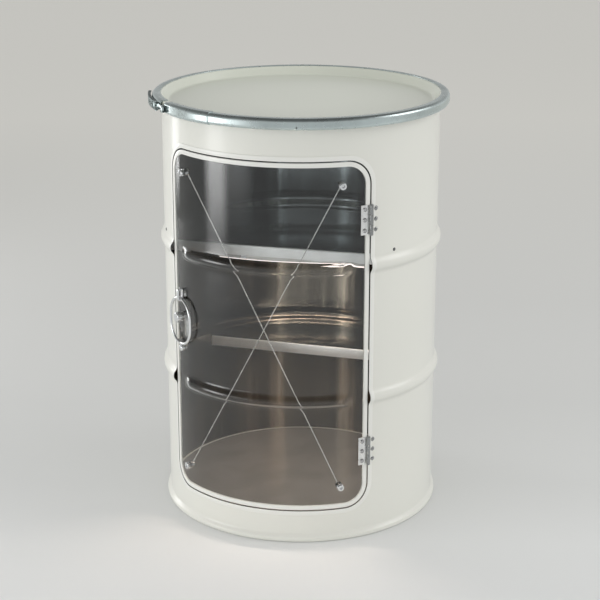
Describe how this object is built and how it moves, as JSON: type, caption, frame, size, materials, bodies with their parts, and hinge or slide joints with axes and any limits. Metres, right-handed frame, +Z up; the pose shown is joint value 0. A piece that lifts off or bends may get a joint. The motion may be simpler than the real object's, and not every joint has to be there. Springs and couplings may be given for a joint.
{
  "type": "bar cabinet",
  "caption": "Open-head steel drum made into a lit bar cabinet, with a curved clear door, shelves, a pull ring and a clamped lid that serves as a tray top.",
  "frame": {"origin": "on the drum's axis, in the plane that it stands on", "axes": "+Z up along the drum's axis, the door's middle faces -Y, the hinges are at +X"},
  "size_m": [0.612, 0.612, 0.8862],
  "materials": {
    "drum_paint": "gloss off-white enamel",
    "lid_paint": "satin pale cream-green enamel",
    "edge_paint": "white enamel edging",
    "seal_rubber": "black seal",
    "zinc": "bright blue zinc plating",
    "bright_steel": "bright rolled steel",
    "shelf_steel": "polished sheet steel",
    "chrome": "chrome plating",
    "clear_plastic": "clear acrylic sheet",
    "wire_steel": "bright drawn wire",
    "bar_aluminium": "anodised extrusion",
    "bar_plastic": "milky light diffuser"
  },
  "bodies": {
    "root": {"drum_shell": "drum_paint", "bottom_chime": "drum_paint", "drum_bottom": "drum_paint", "hinge_body_rivets": "drum_paint", "keeper_rivets": "drum_paint", "bracket_rivets": "drum_paint", "hole_plugs": "drum_paint", "lid": "lid_paint", "opening_trim": "edge_paint", "lid_gasket": "seal_rubber", "locking_ring": "zinc", "ring_strap": "zinc", "lever_lug": "zinc", "link_lug": "zinc", "lever_pins": "zinc", "link_pin": "zinc", "hinge_body_leaves": "bright_steel", "hinge_pins": "bright_steel", "keeper": "bright_steel", "top_shelf": "shelf_steel", "middle_shelf": "shelf_steel", "top_shelf_brackets": "shelf_steel", "middle_shelf_brackets": "shelf_steel", "led_channel": "bar_aluminium", "led_clips": "bar_aluminium", "led_diffuser": "bar_plastic", "led_end_caps": "bar_plastic"},
    "door": {"door_pane": "clear_plastic", "door_trim": "edge_paint", "hinge_door_leaves": "bright_steel", "hinge_door_rivets": "bright_steel", "wire_studs": "chrome", "stud_nuts": "chrome", "cross_wire_a": "wire_steel", "cross_wire_b": "wire_steel", "handle_eye": "chrome", "handle_rest": "chrome", "handle_nuts": "bright_steel", "knob_bush": "chrome"},
    "pull_ring": {"handle_ring": "chrome"},
    "latch": {"latch_knob": "chrome", "latch_tongue": "bright_steel"},
    "ring_lever": {"lever": "zinc", "toggle_pin": "zinc"},
    "ring_link": {"link": "zinc"}
  },
  "joints": [
    {"name": "door_hinge", "type": "hinge", "parent": "root", "child": "door", "pos_m": [0.21012, -0.20291, 0.433], "axis": [0, 0, 1], "range_deg": [0, 115]},
    {"name": "pull_ring_hinge", "type": "hinge", "parent": "door", "child": "pull_ring", "pos_m": [-0.18647, -0.2262, 0.4845], "axis": [-0.7716, 0.6361, 0], "range_deg": [0, 95]},
    {"name": "latch_turn", "type": "hinge", "parent": "door", "child": "latch", "pos_m": [-0.18446, -0.22377, 0.4445], "axis": [0.6361, 0.7716, 0], "range_deg": [0, 90]},
    {"name": "lever_pivot", "type": "hinge", "parent": "root", "child": "ring_lever", "pos_m": [-0.23839, -0.20004, 0.87375], "axis": [0, 0, 1], "range_deg": [0, 110]},
    {"name": "link_pivot", "type": "hinge", "parent": "root", "child": "ring_link", "pos_m": [-0.21422, -0.22574, 0.87375], "axis": [0, 0, 1], "range_deg": [0, 11]}
  ],
  "couplings": [
    {"joint": "link_pivot", "follows": "lever_pivot", "ratio": 0.1}
  ]
}
